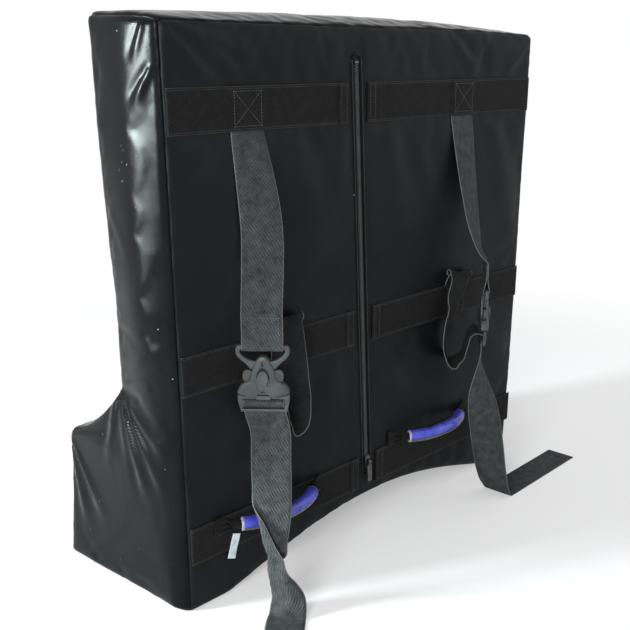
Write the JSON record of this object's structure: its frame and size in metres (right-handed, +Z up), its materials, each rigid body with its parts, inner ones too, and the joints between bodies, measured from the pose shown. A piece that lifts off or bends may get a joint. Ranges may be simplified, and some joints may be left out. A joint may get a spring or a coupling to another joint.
{
  "type": "ruck pad",
  "caption": "Padded block with a foot, in a sewn zipped cover, with webbing shoulder straps, side-release buckles and carrying handles; it is worn, carried or stood on the floor.",
  "frame": {"origin": "on the floor, under the middle of the whole object's bounding box", "axes": "+X along the pad's back from its left to its right as the wearer's side is looked at, +Y from the wearer's side into the pad, +Z up"},
  "size_m": [0.8684, 0.5126, 0.725],
  "materials": {
    "foam": "open-cell foam",
    "back_vinyl": "matt coated fabric",
    "glossy_vinyl": "glossy vinyl with a fine embossed weave",
    "webbing": "ribbed woven webbing",
    "zip_tape": "woven tape and moulded teeth",
    "zip_metal": "black enamelled metal",
    "buckle_plastic": "moulded, satin",
    "grip_plastic": "smooth blue-violet tube",
    "tag_fabric": "smooth white tape"
  },
  "bodies": {
    "pad": {"back_panel": "back_vinyl", "blank_tag": "tag_fabric", "bottom_band_left": "webbing", "bottom_band_right": "webbing", "bottom_panel": "glossy_vinyl", "foam_foot": "foam", "foam_slab": "foam", "foot_front_panel": "glossy_vinyl", "foot_top_panel": "glossy_vinyl", "front_panel": "glossy_vinyl", "left_handle_end_left": "webbing", "left_handle_end_right": "webbing", "left_side_panel": "glossy_vinyl", "left_slack_web": "webbing", "left_strap_anchor": "webbing", "middle_band_left": "webbing", "middle_band_right": "webbing", "right_handle_end_left": "webbing", "right_handle_end_right": "webbing", "right_side_panel": "glossy_vinyl", "right_slack_web": "webbing", "right_strap_anchor": "webbing", "top_band_left": "webbing", "top_band_right": "webbing", "top_panel": "glossy_vinyl", "zip_bottom_stop": "zip_metal", "zip_tape_left": "zip_tape", "zip_tape_right": "zip_tape", "zip_teeth_left": "zip_tape", "zip_teeth_right": "zip_tape", "zip_top_stop": "zip_metal"},
    "zip_slider": {"zip_slider": "zip_metal"},
    "zip_pull": {"zip_pull": "zip_metal"},
    "left_strap": {"left_upper_strap": "webbing", "left_buckle_socket": "buckle_plastic", "left_buckle_plug": "buckle_plastic", "left_tail_web": "webbing"},
    "left_buckle_arm_left": {"left_buckle_arm_left": "buckle_plastic"},
    "left_buckle_arm_right": {"left_buckle_arm_right": "buckle_plastic"},
    "left_handle": {"left_handle_web": "webbing", "left_grip": "grip_plastic"},
    "right_strap": {"right_upper_strap": "webbing", "right_buckle_socket": "buckle_plastic", "right_buckle_plug": "buckle_plastic", "right_tail_web": "webbing"},
    "right_buckle_arm_left": {"right_buckle_arm_left": "buckle_plastic"},
    "right_buckle_arm_right": {"right_buckle_arm_right": "buckle_plastic"},
    "right_handle": {"right_handle_web": "webbing", "right_grip": "grip_plastic"}
  },
  "joints": [
    {"name": "zip_slide", "type": "slide", "parent": "pad", "child": "zip_slider", "axis": [-0.0489, 0, 0.9988], "range_m": [0, 0.5544]},
    {"name": "zip_pull_swing", "type": "hinge", "parent": "zip_slider", "child": "zip_pull", "pos_m": [-0.00587, -0.00702, 0.10743], "axis": [-0.9988, 0, -0.0489], "range_deg": [0, 170]},
    {"name": "left_strap_swing", "type": "hinge", "parent": "pad", "child": "left_strap", "pos_m": [-0.21951, -0.00232, 0.5977], "axis": [-1, 0, 0], "range_deg": [0, 25], "deforming": ["left_slack_web"]},
    {"name": "left_arm_pinch_left", "type": "hinge", "parent": "left_strap", "child": "left_buckle_arm_left", "pos_m": [-0.24525, -0.03415, 0.29031], "axis": [0.7431, 0.6691, 0], "range_deg": [0, 7], "stiffness_Nm_per_rad": 0.4, "springref_deg": -1.15},
    {"name": "left_arm_pinch_right", "type": "hinge", "parent": "left_strap", "child": "left_buckle_arm_right", "pos_m": [-0.23377, -0.0469, 0.29031], "axis": [-0.7431, -0.6691, 0], "range_deg": [0, 7], "stiffness_Nm_per_rad": 0.4, "springref_deg": -1.15},
    {"name": "left_handle_swing", "type": "hinge", "parent": "pad", "child": "left_handle", "pos_m": [-0.19951, -0.00902, 0.108], "axis": [1, 0, 0], "range_deg": [-55, 55]},
    {"name": "right_strap_swing", "type": "hinge", "parent": "pad", "child": "right_strap", "pos_m": [0.19449, -0.00232, 0.5977], "axis": [-1, 0, 0], "range_deg": [0, 25], "deforming": ["right_slack_web"]},
    {"name": "right_arm_pinch_left", "type": "hinge", "parent": "right_strap", "child": "right_buckle_arm_left", "pos_m": [0.18901, -0.06415, 0.29031], "axis": [-0.6561, 0.7547, 0], "range_deg": [0, 7], "stiffness_Nm_per_rad": 0.4, "springref_deg": -1.15},
    {"name": "right_arm_pinch_right", "type": "hinge", "parent": "right_strap", "child": "right_buckle_arm_right", "pos_m": [0.20197, -0.05289, 0.29031], "axis": [0.6561, -0.7547, 0], "range_deg": [0, 7], "stiffness_Nm_per_rad": 0.4, "springref_deg": -1.15},
    {"name": "right_handle_swing", "type": "hinge", "parent": "pad", "child": "right_handle", "pos_m": [0.13549, -0.00902, 0.128], "axis": [1, 0, 0], "range_deg": [-55, 55]}
  ],
  "couplings": [
    {"joint": "left_arm_pinch_right", "follows": "left_arm_pinch_left", "ratio": 1},
    {"joint": "right_arm_pinch_right", "follows": "right_arm_pinch_left", "ratio": 1}
  ]
}
